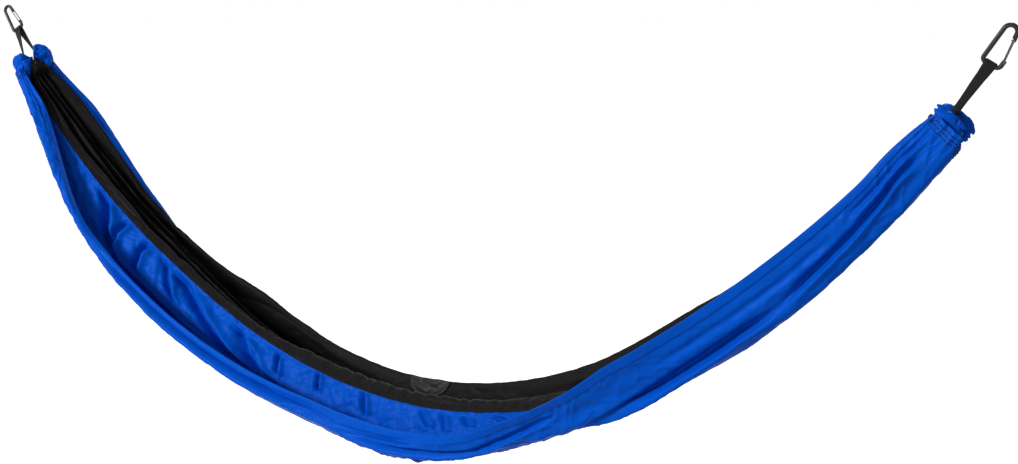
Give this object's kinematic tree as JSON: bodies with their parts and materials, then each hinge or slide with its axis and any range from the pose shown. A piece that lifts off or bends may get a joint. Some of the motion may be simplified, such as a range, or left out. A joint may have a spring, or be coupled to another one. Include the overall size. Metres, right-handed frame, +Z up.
{
  "type": "camping hammock",
  "caption": "Panelled nylon travel hammock, hanging empty, with gathered end channels, webbing slings, wire-gate carabiners and a small pocket.",
  "frame": {"origin": "left hang point: where the load sits inside the left carabiner's bow", "axes": "+X to the right hang point, +Y to the far side of the cloth, +Z up"},
  "size_m": [2.6878, 0.3203, 0.9865],
  "materials": {
    "blue_nylon": "satin",
    "black_nylon": "satin",
    "pocket_nylon": "satin",
    "webbing": "matte",
    "black_steel": "satin",
    "wire_steel": "satin"
  },
  "bodies": {
    "hammock": {"near_hem": "blue_nylon", "near_side_panel": "blue_nylon", "near_seam": "black_nylon", "centre_panel": "black_nylon", "far_seam": "black_nylon", "far_side_panel": "blue_nylon", "far_hem": "blue_nylon", "stow_pocket": "pocket_nylon", "left_end_channel_near": "blue_nylon", "left_end_channel_centre": "black_nylon", "left_end_channel_far": "blue_nylon", "left_webbing_sling": "webbing", "right_end_channel_near": "blue_nylon", "right_end_channel_centre": "black_nylon", "right_end_channel_far": "blue_nylon", "right_webbing_sling": "webbing"},
    "left_carabiner": {"left_carabiner_body": "black_steel"},
    "left_gate": {"left_carabiner_gate": "wire_steel"},
    "right_carabiner": {"right_carabiner_body": "black_steel"},
    "right_gate": {"right_carabiner_gate": "wire_steel"}
  },
  "joints": [
    {"name": "left_carabiner_swing", "type": "hinge", "parent": "hammock", "child": "left_carabiner", "pos_m": [0.03674, 0, -0.05477], "axis": [0.8128, 0.2079, 0.5442], "range_deg": [-70, 70]},
    {"name": "left_gate_hinge", "type": "hinge", "parent": "left_carabiner", "child": "left_gate", "pos_m": [0.04334, 0.00333, -0.03651], "axis": [0.1727, -0.9781, 0.1158], "range_deg": [0, 25], "stiffness_Nm_per_rad": 0.05, "springref_deg": -11.46},
    {"name": "right_carabiner_swing", "type": "hinge", "parent": "hammock", "child": "right_carabiner", "pos_m": [2.62726, 0, -0.05477], "axis": [0.7522, 0.4226, -0.5056], "range_deg": [-70, 70]},
    {"name": "right_gate_hinge", "type": "hinge", "parent": "right_carabiner", "child": "right_gate", "pos_m": [2.64571, 0.00676, -0.05331], "axis": [0.351, -0.9063, -0.2354], "range_deg": [0, 25], "stiffness_Nm_per_rad": 0.05, "springref_deg": -11.46}
  ]
}
